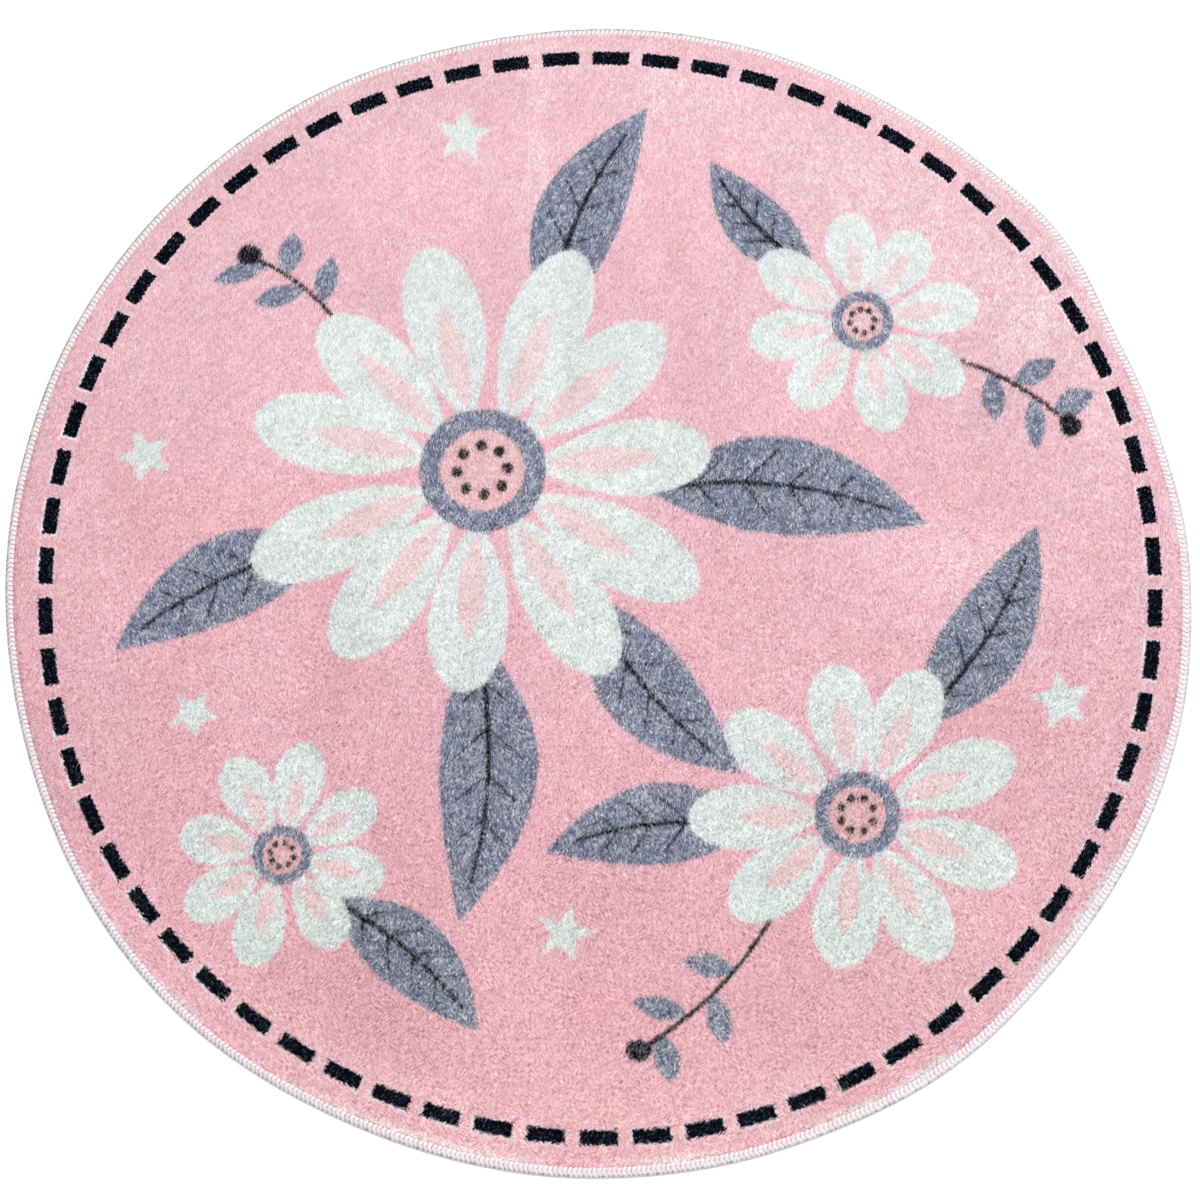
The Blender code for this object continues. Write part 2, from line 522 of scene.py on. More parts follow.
def blade(along, across, length, half_width, belly, round_tip):
    """Distance outside a leaf or a petal, whose widest place lies at the share belly of its length."""
    share = np.clip(along / length, 0, 1)
    rise = np.sin(np.pi / 2 * np.minimum(share / belly, 1)) ** 0.9
    past = np.clip((share - belly) / (1 - belly), 0, 1)
    fall = np.sqrt(1 - past**2) if round_tip else np.cos(np.pi / 2 * past) ** 0.9
    profile = half_width * np.where(share < belly, rise, fall)
    return np.maximum(np.abs(across) - profile, np.maximum(-along, along - length))


def paint(colours, outside, ink):
    """Lays an ink over the print, on points that lie this far outside its shape's blurred edge."""
    share = np.clip(0.5 - outside / (2 * PRINT_BLUR), 0, 1)[:, None]
    share = share * share * (3 - 2 * share)
    return colours * (1 - share) + np.array(ink) * share


def paint_daisy(colours, x, y, middle, reach, petals, turn):
    """A daisy whose petals differ a little, with a pale stroke on each and dots on its heart."""
    reach *= MM
    foot = PETAL_FOOT * reach
    width = PETAL_WIDTH * math.pi * reach / petals
    white, pale = np.full(len(x), np.inf), np.full(len(x), np.inf)
    for petal in range(petals):
        bearing = turn + 360 * petal / petals + PETAL_SWING * math.sin(petal * 2.3)
        long = reach * (1 - PETAL_UNEVEN + PETAL_UNEVEN * math.sin(petal * 1.7 + turn))
        along, across = turned(x, y, middle, bearing)
        petal_here = blade(along - foot, across, long - foot, width, PETAL_BELLY, True)
        white = np.minimum(white, petal_here)
        past_foot = along - foot - STROKE_FOOT * reach
        stroke = blade(past_foot, across, STROKE_LENGTH * reach, STROKE_WIDTH * width, 0.5, False)
        pale = np.minimum(pale, stroke)
    colours = paint(colours, white, OFF_WHITE)
    colours = paint(colours, pale, PALE_PINK)
    far = np.hypot(x - middle[0] * MM, y - middle[1] * MM)
    heart = HEART_RADIUS * reach
    colours = paint(colours, far - heart, BLUE_GREY)
    colours = paint(colours, far - BLUSH_RADIUS * heart, BLUSH)
    for dot in range(HEART_DOTS):
        angle = math.radians(turn + 360 * dot / HEART_DOTS)
        dot_x = middle[0] * MM + DOT_RING * heart * math.cos(angle)
        dot_y = middle[1] * MM + DOT_RING * heart * math.sin(angle)
        outside = np.hypot(x - dot_x, y - dot_y) - DOT_RADIUS * heart - DOT_EXTRA
        colours = paint(colours, outside, NAVY)
    return colours


def bent(along, across, length, bend):
    """The across measure of a shape whose middle line bows by bend, in metres."""
    share = np.clip(along / length, 0, 1)
    return across - 4 * bend * share * (1 - share)


def paint_leaf(colours, x, y, foot, bearing, length, half_width, bend):
    """A bowed leaf with a rib that thins out towards the tip and slanting veins."""
    length, half_width, bend = length * MM, half_width * MM, bend * MM
    along, across = turned(x, y, foot, bearing)
    across = bent(along, across, length, bend)
    leaf = blade(along, across, length, half_width, LEAF_BELLY, False)
    colours = paint(colours, leaf, BLUE_GREY)
    share = np.clip(along / length, 0, 1)
    rib = np.abs(across) - (1 - RIB_THINNING * share) * RIB_HALF_WIDTH
    rib = np.maximum(rib, np.maximum(-along, along - RIB_END * length))
    pitch = VEIN_PITCH * length
    slant = along - VEIN_SLANT * np.abs(across)
    vein = np.abs((slant / pitch + VEIN_SHIFT) % 1 - 0.5) * pitch - VEIN_HALF_WIDTH
    rim = leaf + VEIN_BORDER * half_width
    vein = np.maximum(vein, np.maximum(rim, along - VEIN_END * length))
    return paint(colours, np.minimum(rib, vein), NAVY)


def paint_sprig(colours, x, y, foot, bearing, length, bend):
    """A bowed stalk that ends in a round berry, with small leaves on one side and the other."""
    length, bend = length * MM, bend * MM
    along, across = turned(x, y, foot, bearing)
    bowed = bent(along, across, length, bend)
    ink = np.maximum(np.abs(bowed) - SPRIG_STALK, np.maximum(-along, along - length))
    ink = np.minimum(ink, np.hypot(along - length, bowed) - SPRIG_BERRY)
    grey = np.full(len(x), np.inf)
    for number, share in enumerate(SPRIG_LEAVES):
        lean = SPRIG_LEAF_LEAN if number % 2 else -SPRIG_LEAF_LEAN
        out, up = turned(along - share * length, bowed, (0, 0), lean)
        leaf = blade(out, up, SPRIG_LEAF_LENGTH, SPRIG_LEAF_HALF_WIDTH, 0.5, False)
        grey = np.minimum(grey, leaf)
    colours = paint(colours, grey, BLUE_GREY)
    return paint(colours, ink, NAVY)


def paint_star(colours, x, y, middle, reach, turn):
    """A five-pointed star with straight sides."""
    along, across = turned(x, y, middle, turn)
    wedge = math.tau / 10
    angle = np.abs((np.arctan2(across, along) + wedge) % (2 * wedge) - wedge)
    far = np.hypot(along, across)
    point = np.array([reach * MM, 0.0])
    notch = STAR_NOTCH * reach * MM * np.array([math.cos(wedge), math.sin(wedge)])
    side = notch - point
    normal = np.array([-side[1], side[0]]) / np.hypot(*side)
    normal = normal if normal @ point > 0 else -normal
    outside = far * np.cos(angle) * normal[0] + far * np.sin(angle) * normal[1] - point @ normal
    return paint(colours, outside, OFF_WHITE)


def foot_on(daisy, bearing, out):
    """The point this far out from a daisy's middle, in mm."""
    angle = math.radians(bearing)
    return DAISIES[daisy][0] + out * math.cos(angle), DAISIES[daisy][1] + out * math.sin(angle)


def printed(x, y):
    """The print's colour at each point, but for the dashed ring, which the material adds."""
    colours = np.tile(np.array(PINK), (len(x), 1))
    for daisy, bearing, out, length, half_width, bend in LEAVES:
        foot = foot_on(daisy, bearing, out)
        colours = paint_leaf(colours, x, y, foot, bearing, length, half_width, bend)
    for daisy, bearing, out, length, bend in SPRIGS:
        colours = paint_sprig(colours, x, y, foot_on(daisy, bearing, out), bearing, length, bend)
    for across, up, reach, petals, turn in DAISIES:
        colours = paint_daisy(colours, x, y, (across, up), reach, petals, turn)
    for across, up, reach, turn in STARS:
        colours = paint_star(colours, x, y, (across, up), reach, turn)
    return colours


# ------------ meshes and materials
def add_object(name, data):
    """A new object in the scene."""
    obj = bpy.data.objects.new(name, data)
    bpy.context.scene.collection.objects.link(obj)
    return obj


def new_piece(name, points, faces, material):
    """A smooth object that rides on the rug, from points and from faces with equally many corners."""
    count, corners = faces.shape
    data = bpy.data.meshes.new(name)
    data.vertices.add(len(points))
    data.vertices.foreach_set("co", points.astype(np.float32).ravel())
    data.loops.add(count * corners)
    data.loops.foreach_set("vertex_index", faces.astype(np.int32).ravel())
    data.polygons.add(count)
    data.polygons.foreach_set("loop_start", np.arange(0, count * corners, corners, dtype=np.int32))
    data.update(calc_edges=True)
    data.shade_smooth()
    data.materials.append(material)
    obj = add_object(name, data)
    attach(obj, "root")
    return obj


def colour_points(obj, colours):
    """Stores a linear RGB colour for each point, which the material reads as ink."""
    rgba = np.concatenate([colours, np.ones((len(colours), 1))], axis=1)
    ink = obj.data.color_attributes.new("ink", "FLOAT_COLOR", "POINT")
    ink.data.foreach_set("color", rgba.astype(np.float32).ravel())


def add_flat_map(obj):
    """A map straight down from above, which fills the unit square."""
    data = obj.data
    points = np.empty(len(data.vertices) * 3, np.float32)
    data.vertices.foreach_get("co", points)
    corners = np.empty(len(data.loops), np.int32)
    data.loops.foreach_get("vertex_index", corners)
    flat = points.reshape(-1, 3)[corners, :2]
    low, high = flat.min(axis=0), flat.max(axis=0)
    places = 0.005 + 0.99 * (flat - low) / (high - low)
    data.uv_layers.new(name="OFBake").data.foreach_set("uv", places.ravel())


def new_material(name, roughness, sheen):
    """(material, node tree, shader) of a rough fabric with no gloss."""
    material = bpy.data.materials.new(name)
    material.use_nodes = True
    shader = material.node_tree.nodes["Principled BSDF"]
    shader.inputs["Roughness"].default_value = roughness
    shader.inputs["Sheen Weight"].default_value = sheen
    shader.inputs["Sheen Roughness"].default_value = 0.5
    shader.inputs["Specular IOR Level"].default_value = 0.0
    return material, material.node_tree, shader


def add_node(tree, kind, output, inputs, **settings):
    """One output of a new node. Its inputs, by name or number, are fed by sockets or plain values."""
    node = tree.nodes.new(kind)
    for name, value in settings.items():
        setattr(node, name, value)
    for name, value in inputs.items():
        if isinstance(value, bpy.types.NodeSocket):
            tree.links.new(value, node.inputs[name])
        else:
            node.inputs[name].default_value = value
    return node.outputs[output]


def calc(tree, operation, *values):
    """The result of a Math node on sockets and numbers."""
    return add_node(tree, "ShaderNodeMath", 0, dict(enumerate(values)), operation=operation)


def colour_calc(tree, operation, *values):
    """The result of a Vector Math node on colours, each a socket or three numbers."""
    return add_node(tree, "ShaderNodeVectorMath", 0, dict(enumerate(values)), operation=operation)


def spread(tree, value, low, high, bottom=0.0, top=1.0, curve="SMOOTHSTEP"):
    """Runs from bottom, where value is low, to top, where it is high."""
    inputs = {"Value": value, "From Min": low, "From Max": high, "To Min": bottom, "To Max": top}
    return add_node(tree, "ShaderNodeMapRange", "Result", inputs, interpolation_type=curve)


def mixed(tree, share, first, second):
    """Runs from one socket's number to another's, as share says."""
    return add_node(tree, "ShaderNodeMix", 0, {"Factor": share, 2: first, 3: second})


def lay_over(tree, share, under, over):
    """Mixes a colour over another, as thickly as share says. Each is a socket or three numbers."""
    under, over = [(*ink[:3], 1) if isinstance(ink, tuple) else ink for ink in (under, over)]
    inputs = {"Factor": share, 6: under, 7: over}
    return add_node(tree, "ShaderNodeMix", 2, inputs, data_type="RGBA")


def shade_by(tree, colour, factor, low, high):
    """Multiplies a colour by low where factor is 0.3 and by high where it is 0.7."""
    inputs = {0: colour, "Scale": spread(tree, factor, 0.3, 0.7, low, high, "LINEAR")}
    return add_node(tree, "ShaderNodeVectorMath", 0, inputs, operation="SCALE")


def ink_of(tree):
    """The colour that colour_points stored."""
    return add_node(tree, "ShaderNodeAttribute", "Color", {}, attribute_name="ink")


def place_of(tree):
    """Each point's place in the rug's own space."""
    return add_node(tree, "ShaderNodeTexCoord", "Object", {})


def place_along(tree, axis):
    """How far along X or Y each point lies."""
    return add_node(tree, "ShaderNodeSeparateXYZ", axis, {0: place_of(tree)})


def noise_of(tree, scale, detail=2.0):
    """Noise at so many features a metre, in the rug's own space."""
    inputs = {"Vector": place_of(tree), "Scale": scale, "Detail": detail}
    return add_node(tree, "ShaderNodeTexNoise", "Fac", inputs)


def add_bump(tree, shader, height, depth, strength=1.0):
    """Gives a shader fine relief, so many metres deep."""
    inputs = {"Height": height, "Distance": depth, "Strength": strength}
    tree.links.new(add_node(tree, "ShaderNodeBump", "Normal", inputs), shader.inputs["Normal"])


# ------------ the pile's material
def less_waves(tree, value, angle, waves):
    """Takes waves in one turn off a value: (how many, size in mm, phase in degrees) of each."""
    for number, size, phase in waves:
        wave = calc(tree, "SINE", calc(tree, "MULTIPLY_ADD", angle, number, math.radians(phase)))
        value = calc(tree, "MULTIPLY_ADD", wave, -size * MM, value)
    return value


def outside_dashes(tree, slip, fray):
    """Distance outside the nearest dash of the ring, for a print that slipped a little."""
    x = calc(tree, "SUBTRACT", place_along(tree, "X"), RING_MIDDLE[0] + slip[0])
    y = calc(tree, "SUBTRACT", place_along(tree, "Y"), RING_MIDDLE[1] + slip[1])
    angle = calc(tree, "ARCTAN2", y, x)
    radius = calc(tree, "SQRT", calc(tree, "MULTIPLY_ADD", x, x, calc(tree, "MULTIPLY", y, y)))
    turn = calc(tree, "SUBTRACT", angle, math.radians(FIRST_DASH))
    run = less_waves(tree, calc(tree, "MULTIPLY", turn, RING_RADIUS), angle, RING_CREEP)
    pitch = math.tau * RING_RADIUS / DASHES
    near = calc(tree, "ROUND", calc(tree, "DIVIDE", run, pitch))
    along = calc(tree, "ABSOLUTE", calc(tree, "MULTIPLY_ADD", near, -pitch, run))
    level = less_waves(tree, calc(tree, "SUBTRACT", radius, RING_RADIUS), angle, RING_SWELL)
    past_end = calc(tree, "SUBTRACT", along, DASH_LENGTH / 2)
    past_side = calc(tree, "SUBTRACT", calc(tree, "ABSOLUTE", level), DASH_WIDTH / 2)
    outside = calc(tree, "SMOOTH_MAX", past_end, past_side, 2 * DASH_CORNER)
    return calc(tree, "MULTIPLY_ADD", fray, DASH_FRAY, outside)


def strands(tree, bearing):
    """Noise drawn out into thin strands along a bearing in degrees."""
    size, turn = (STRAND_LENGTH, STRAND_WIDTH, 1), (0, 0, math.radians(bearing))
    inputs = {"Vector": place_of(tree), "Scale": size, "Rotation": turn}
    drawn_out = add_node(tree, "ShaderNodeMapping", "Vector", inputs, vector_type="TEXTURE")
    inputs = {"Vector": drawn_out, "Scale": 1, "Detail": 1, "Distortion": STRAND_CURL}
    return add_node(tree, "ShaderNodeTexNoise", "Fac", inputs)


def strand_locks(tree, fan):
    """Strands that lean to one side of the nap or to the other, by so many degrees, lock by lock."""
    side = spread(tree, noise_of(tree, LOCKS), *PATCH_NOISE)
    return mixed(tree, side, strands(tree, NAP_BEARING - fan), strands(tree, NAP_BEARING + fan))


def strand_pattern(tree, height):
    """High on a strand and low in a gap. The strands are crossed in patches, more of them low down."""
    along_nap, crossed = [strand_locks(tree, fan) for fan in STRAND_FANS]
    where = calc(tree, "MULTIPLY_ADD", height, -CROSSED_DOWN, noise_of(tree, CROSSED_PATCHES))
    return mixed(tree, spread(tree, where, *PATCH_NOISE), along_nap, crossed)


def broken_up(tree, ink, strand, height):
    """The ink as fibres show it: painted shade, deeper in colour, in gaps, painted highlights at tips.
    """
    contrast = spread(tree, height, *STRAND_CONTRAST)
    dimmed = colour_calc(tree, "MULTIPLY_ADD", ink, (GAP_SLOPE,) * 3, (GAP_BASE,) * 3)
    gaps = calc(tree, "MULTIPLY", contrast, spread(tree, strand, *GAP_NOISE, 0, STRAND_GAPS))
    colour = lay_over(tree, gaps, ink, colour_calc(tree, "MULTIPLY", ink, dimmed))
    tips = calc(tree, "MULTIPLY", contrast, spread(tree, strand, *TIP_NOISE, 0, STRAND_TIPS))
    return lay_over(tree, tips, colour, colour_calc(tree, "ADD", colour, (TIP_LIGHT,) * 3))


def dash_fray(tree, strand, height):
    """How far fibres drag the edges of the dashes in and out, most of all at the bottom."""
    fibres = calc(tree, "SUBTRACT", strand, 0.5)
    loose = calc(tree, "SUBTRACT", noise_of(tree, LOOSE_FIBRES, detail=3), 0.5)
    rough = spread(tree, height, *STRAND_FRAY)
    return calc(tree, "MULTIPLY_ADD", fibres, rough, loose)


def dash_fringe(tree, fray, height):
    """How much undyed fibre shows round the dashes: in patches, and less of it at the top."""
    outside = outside_dashes(tree, PRINT_SLIP, fray)
    fringe = spread(tree, outside, DASH_FRINGE + PRINT_BLUR, DASH_FRINGE - PRINT_BLUR)
    patches = spread(tree, noise_of(tree, FRINGE_PATCHES), *FRINGE_NOISE)
    fringe = calc(tree, "MULTIPLY", fringe, patches)
    return calc(tree, "MULTIPLY", fringe, spread(tree, height, *FRINGE_SHOWS))


def dash_ink(tree, strand):
    """Navy, a little paler along the strands, with a few bright flecks."""
    streaked = lay_over(tree, spread(tree, strand, *STREAK_NOISE), NAVY, NAVY_FLECK)
    flecks = spread(tree, noise_of(tree, RARE_FLECKS), *FLECK_NOISE, 0, FLECK_THICKNESS)
    return lay_over(tree, flecks, streaked, BRIGHT_FLECK)


def pile_material():
    """Dyed pile: the ink of each point, as fibres with painted shade and highlights, and the dashed
    ring over it.
    """
    material, tree, shader = new_material("printed_pile", roughness=0.95, sheen=0.02)
    height = place_along(tree, "Y")
    strand = strand_pattern(tree, height)
    fray = dash_fray(tree, strand, height)
    colour = broken_up(tree, ink_of(tree), strand, height)
    colour = lay_over(tree, dash_fringe(tree, fray, height), colour, FRINGE)
    dash = spread(tree, outside_dashes(tree, (0, 0), fray), PRINT_BLUR, -PRINT_BLUR)
    colour = lay_over(tree, dash, colour, dash_ink(tree, strand))
    tree.links.new(colour, shader.inputs["Base Color"])
    add_bump(tree, shader, noise_of(tree, FINE_FIBRES), 0.25 * MM, 0.5)
    return material


# ------------ how the pile lies
def brushed(x, y):
    """Percent of painted light the brushed patches, soft ovals, give each point; below 0, painted
    shade.
    """
    lighter = np.zeros(len(x))
    for mark_x, mark_y, half_length, half_width, bearing, percent in NAP_MARKS:
        along, across = turned(x, y, (mark_x, mark_y), bearing)
        far = (along / (half_length * MM)) ** 2 + (across / (half_width * MM)) ** 2
        lighter += percent * np.exp(-far)
    return lighter


def crease_depth(x, y):
    """How far the troughs lower the pile at each point."""
    depth = np.zeros(len(x))
    waver = CREASE_WAVER * smooth_noise(x, y, WAVER_LENGTH, 41)
    for x1, y1, x2, y2, half_width, deep in CREASES:
        length = math.hypot(x2 - x1, y2 - y1) * MM
        along, across = turned(x, y, (x1, y1), math.degrees(math.atan2(y2 - y1, x2 - x1)))
        # Full along most of the trough, fading out a little past both of its ends
        ends = np.clip(1.15 - np.abs(2 * along / length - 1), 0, 0.3) / 0.3
        depth += deep * MM * ends * np.exp(-(((across + waver) / (half_width * MM)) ** 2))
    return depth


def pile_level(x, y):
    """Height of the pile's surface: flat but for the creases, with a rounded shoulder at the band."""
    inside = np.clip(inside_band(x, y) / SHOULDER_WIDTH, 0, 1)
    rounded = SHOULDER_DROP * (1 - np.sqrt(1 - (1 - inside) ** 2))
    rounded *= 1 - SHOULDER_LESS_AT_TOP * np.clip(2 * y / RUG_LENGTH, 0, 1)
    swell = SWELL * (1 + smooth_noise(x, y, SWELL_WIDTH, 42))
    return PILE_LEVEL - rounded - (swell + crease_depth(x, y)) * inside


def nap_bearing(x, y):
    """Which way the pile leans at each point, in radians: outward beside the band."""
    swing = layered_noise(x, y, NAP_SWING) + BRUSH_TURN * brushed(x, y)
    bearing = np.radians(NAP_BEARING + swing)
    angle = np.arctan2(y, x)
    outward = OUTWARD_LEAN * np.clip(1.2 - inside_band(x, y) / OUTWARD_REACH, 0, 1)
    across = (1 - outward) * np.cos(bearing) + outward * np.cos(angle)
    return np.arctan2((1 - outward) * np.sin(bearing) + outward * np.sin(angle), across)


def nap_shade(x, y):
    """Painted light and shade of the brushed nap and painted shade in the troughs, about 1."""
    shade = 1 + SHADE_TO_TOP * y / HALF_RUG + layered_noise(x, y, SHADE_NOISE)
    # Narrow streaks run down the upper half
    streaks = smooth_noise(x * 5, y, 40 * MM, 33)
    shade += STREAKS * streaks * np.clip(y / (200 * MM), 0, 1)
    return shade + BRUSH_LIGHT * brushed(x, y) - CREASE_SHADE * crease_depth(x, y)


def paleness(x, y):
    """How much pale fibre is painted in as painted sheen, where the pile lies towards the light."""
    pale = PALE_MIDDLE + PALE_TO_TOP * y / HALF_RUG + PALE_TO_RIGHT * x / HALF_RUG
    pale += layered_noise(x, y, PALE_NOISE) + BRUSH_PALE * brushed(x, y)
    return np.clip(pale, 0, PALE_MOST)


def dyed_and_shaded(x, y, luck, pale=1.0):
    """Print colours at each point, with the undyed pile showing through here and there, painted sheen,
    and painted light and shade of the nap and beside the band.

    luck has two numbers from 0 to 1 for each point: how well the dyeing took, and how light it is.
    pale scales the painted sheen: larger at the tips, which are painted paler than the roots.
    """
    inks = printed(x, y)
    show = inks[:, 3] * luck[0] ** 2 + FLECK_SHOW * (luck[0] > 1 - FLECKS)
    light_ink = inks[:, 0] > LIGHT_INK
    # Pale fibre painted in where the ink is light, as painted sheen
    show_anywhere = pale * paleness(x, y) * (PALE_LEAST + PALE_LUCK * luck[0]) * light_ink
    show = np.maximum(show, show_anywhere)
    angle = np.arctan2(y, x)
    faded = 0.5 + 0.5 * smooth_noise(angle, 0 * angle, 0.09, 34)
    _, _, pale_rim, light_rim, reach = rim_look(angle)
    beside_band = np.clip(1.3 - inside_band(x, y) / reach, 0, 1)
    show_at_rim = pale_rim * (RIM_LEAST + RIM_LUCK * luck[0]) * faded * beside_band
    show = np.maximum(show, np.minimum(show_at_rim, 1))[:, None]
    colours = inks[:, :3] * (1 - show) + np.array(UNDYED) * show
    uneven = DYE_SPREAD * (1 + WHITE_SPREAD * (inks[:, 1] > WHITE_INK))
    uneven *= 1 - TOP_CALM * np.clip(y / TOP_CALM_SPAN, 0, 1)
    # On average, luck leaves the lightness as it is
    lightness = 1 + uneven * (1.4 * luck[0] + 0.9 * luck[1] - 1.15)
    # Painted light and shade of the nap, and beside the band as the rim gives it
    value = nap_shade(x, y) * lightness * (1 + (light_rim - 1) * beside_band)
    low = np.clip((-y - LOW_TINT_START) / LOW_TINT_SPAN, 0, 1)[:, None]
    return colours * value[:, None] * (1 + low * (np.array(LOW_TINT) - 1))


def tuft_places(rng):
    """(x, y) of every tuft: staggered rows, each tuft a little off its place, from front to back."""
    row_step = TUFT_PITCH * math.sqrt(3) / 2
    rows = np.arange(-RUG_LENGTH / 2, RUG_LENGTH / 2, row_step)
    x, y = np.meshgrid(np.arange(-RUG_WIDTH / 2, RUG_WIDTH / 2, TUFT_PITCH), rows)
    x = x + (np.arange(len(rows)) % 2)[:, None] * TUFT_PITCH / 2
    x = (x + rng.uniform(-TUFT_JITTER, TUFT_JITTER, x.shape) * TUFT_PITCH).ravel()
    y = (y + rng.uniform(-TUFT_JITTER, TUFT_JITTER, y.shape) * TUFT_PITCH).ravel()
    kept = inside_band(x, y) > 0
    return x[kept], y[kept]


def make_pile(material):
    """Tufts of pile, each a small three-sided heap that rises from its root to a blunt front."""
    rng = np.random.default_rng(12)
    x, y = tuft_places(rng)
    count = len(x)
    # The tufts lie less tidily towards the bottom
    stray = rng.normal(0, TUFT_STRAY, count) * (1.2 - 1.6 * y / RUG_LENGTH)
    bearing = nap_bearing(x, y) + stray
    room = np.clip(inside_band(x, y) / TUFT_ROOM, TUFT_SHORTENED, 1)
    length = TUFT_LENGTH * room * rng.uniform(*TUFT_LENGTHS, count)
    half_width = TUFT_WIDTH / 2 * rng.uniform(*TUFT_WIDTHS, count)
    top = pile_level(x, y) - TUFT_UNEVEN * rng.random(count)
    roll = TUFT_ROLL * rng.uniform(-1, 1, count)
    luck = rng.random((2, count))
    run, side = np.cos(bearing), np.sin(bearing)

    def on_tufts(ahead, out):
        """x and y of one place on every tuft, as shares of its length and of its half width."""
        middle_x, middle_y = x + ahead * length * run, y + ahead * length * side
        return middle_x - out * half_width * side, middle_y + out * half_width * run

    points = np.empty((count, len(TUFT_CORNERS), 3))
    for number, (ahead, out, depth, rolled) in enumerate(TUFT_CORNERS):
        points[:, number, 0], points[:, number, 1] = on_tufts(ahead, out)
        points[:, number, 2] = top - (depth + rolled * roll)
    colours = np.empty((count, len(TUFT_DYES_AND_SHADE), 3))
    # Each corner is painted lighter at the top and darker and deeper at the root and feet: painted
    # light and shade
    for number, (ahead, out, light, pale, deep) in enumerate(TUFT_DYES_AND_SHADE):
        dye_and_shade = light * dyed_and_shaded(*on_tufts(ahead, out), luck, pale)
        colours[:, number] = dye_and_shade * (dye_and_shade / dye_and_shade.max(axis=1, keepdims=True)) ** deep
    pieces = []
    for number, rows in enumerate(np.array_split(np.arange(count), PILE_PIECES)):
        first = len(TUFT_CORNERS) * np.arange(len(rows))[:, None, None]
        faces = (first + np.array(TUFT_FACES)).reshape(-1, 3)
        name = f"pile_{number + 1}"
        piece = new_piece(name, points[rows].reshape(-1, 3), faces, material)
        colour_points(piece, colours[rows].reshape(-1, 3))
        add_flat_map(piece)
        pieces.append(piece)
    return pieces


def ring_faces(rings, around):
    """Four-cornered faces between rings of points, ring after ring."""
    ring, step = np.meshgrid(np.arange(rings - 1), np.arange(around), indexing="ij")
    after = (step + 1) % around
    corners = [ring * around + step, ring * around + after, (ring + 1) * around + after]
    return np.stack([*corners, (ring + 1) * around + step], -1).reshape(-1, 4)


def disc_grid(cells, inset):
    """A square grid bent into a disc that ends this far inside the rim, by a function of the angle.

    It gives x, y and angle of each point, then the faces and the points round the disc's edge.
    """
    steps = np.linspace(-1, 1, cells + 1)
    u, v = np.meshgrid(steps, steps)
    x, y = u * np.sqrt(1 - v**2 / 2), v * np.sqrt(1 - u**2 / 2)
    number = np.arange((cells + 1) ** 2).reshape(cells + 1, cells + 1)
    corners = [number[:-1, :-1], number[:-1, 1:], number[1:, 1:], number[1:, :-1]]
    faces = np.stack(corners, -1).reshape(-1, 4)
    rim = [number[0, :-1], number[:-1, -1], number[-1, :0:-1], number[:0:-1, 0]]
    share, angle = np.hypot(x, y).ravel(), np.arctan2(y, x).ravel()
    reach = share * (rim_radius(angle) - inset(angle))
    return reach * np.cos(angle), reach * np.sin(angle), angle, faces, np.concatenate(rim)


def make_ground(material):
    """The dense foot of the pile under the tufts. It runs on, pressed flat, inside the edge thread."""
    x, y, angle, faces, rim = disc_grid(GROUND_CELLS, band_width)
    points = np.stack([x, y, pile_level(x, y) - GROUND_DEPTH], axis=1)
    narrow = band_width(angle[rim]) / BAND_WIDTH
    rings = [rim_point(angle[rim], narrow * inset * MM, level * MM) for inset, level in PRESSED_EDGE]
    around = len(rim)
    first = len(points) - around
    edge_faces = ring_faces(len(PRESSED_EDGE) + 1, around) + first
    own = np.arange(first, first + around)
    edge_faces = np.where(np.isin(edge_faces, own), rim[(edge_faces - first) % around], edge_faces)
    points = np.concatenate([points, *rings])
    faces = np.concatenate([faces, edge_faces[:, ::-1]])
    ground = new_piece("pile_ground", points, faces, material)
    luck = np.random.default_rng(13).random((2, len(points)))
    # The ground is painted darker, as painted shade under the tufts
    colours = dyed_and_shaded(points[:, 0], points[:, 1], luck) * GROUND_LIGHT
    under_thread = inside_band(points[:, 0], points[:, 1]) < -0.4 * MM
    colours[under_thread] = UNDER_THREAD
    colour_points(ground, colours)
    return ground


# ------------ woven back
def back_material():
    """Grey-beige threads that cross at right angles."""
    material, tree, shader = new_material("woven_back", roughness=0.9, sheen=0.1)
    inputs = {"Vector": place_of(tree), "Scale": BACK_THREADS / math.tau, "Distortion": 0.6}
    warp = add_node(tree, "ShaderNodeTexWave", "Fac", inputs, bands_direction="X")
    weft = add_node(tree, "ShaderNodeTexWave", "Fac", inputs, bands_direction="Y")
    weave = calc(tree, "MULTIPLY", warp, weft)
    tree.links.new(shade_by(tree, BACK_COLOUR, weave, 0.8, 1.1), shader.inputs["Base Color"])
    add_bump(tree, shader, weave, 0.4 * MM)
    return material


def make_back(material):
    """The woven back: a thin closed disc inside the edge thread."""
    x, y, _, faces, rim = disc_grid(BACK_CELLS, lambda angle: BACK_INSET)
    sides = [np.stack([x, y, level + 0 * x], axis=1) for level in (BACK_LOW, BACK_HIGH)]
    after = np.roll(rim, -1)
    border = np.stack([rim, after, after + len(x), rim + len(x)], axis=1)
    faces = np.concatenate([faces[:, ::-1], faces + len(x), border])
    return new_piece("woven_back", np.concatenate(sides), faces, material)


# ------------ overlocked edge
def thread_material():
    """Pale fluffy thread, whose colour comes from the ink of each point."""
    material, tree, shader = new_material("edge_thread", roughness=0.75, sheen=0.2)
    fluff = noise_of(tree, THREAD_FLUFF, detail=3)
    tree.links.new(shade_by(tree, ink_of(tree), fluff, 0.93, 1.06), shader.inputs["Base Color"])
    add_bump(tree, shader, fluff, 0.15 * MM, 0.6)
    return material


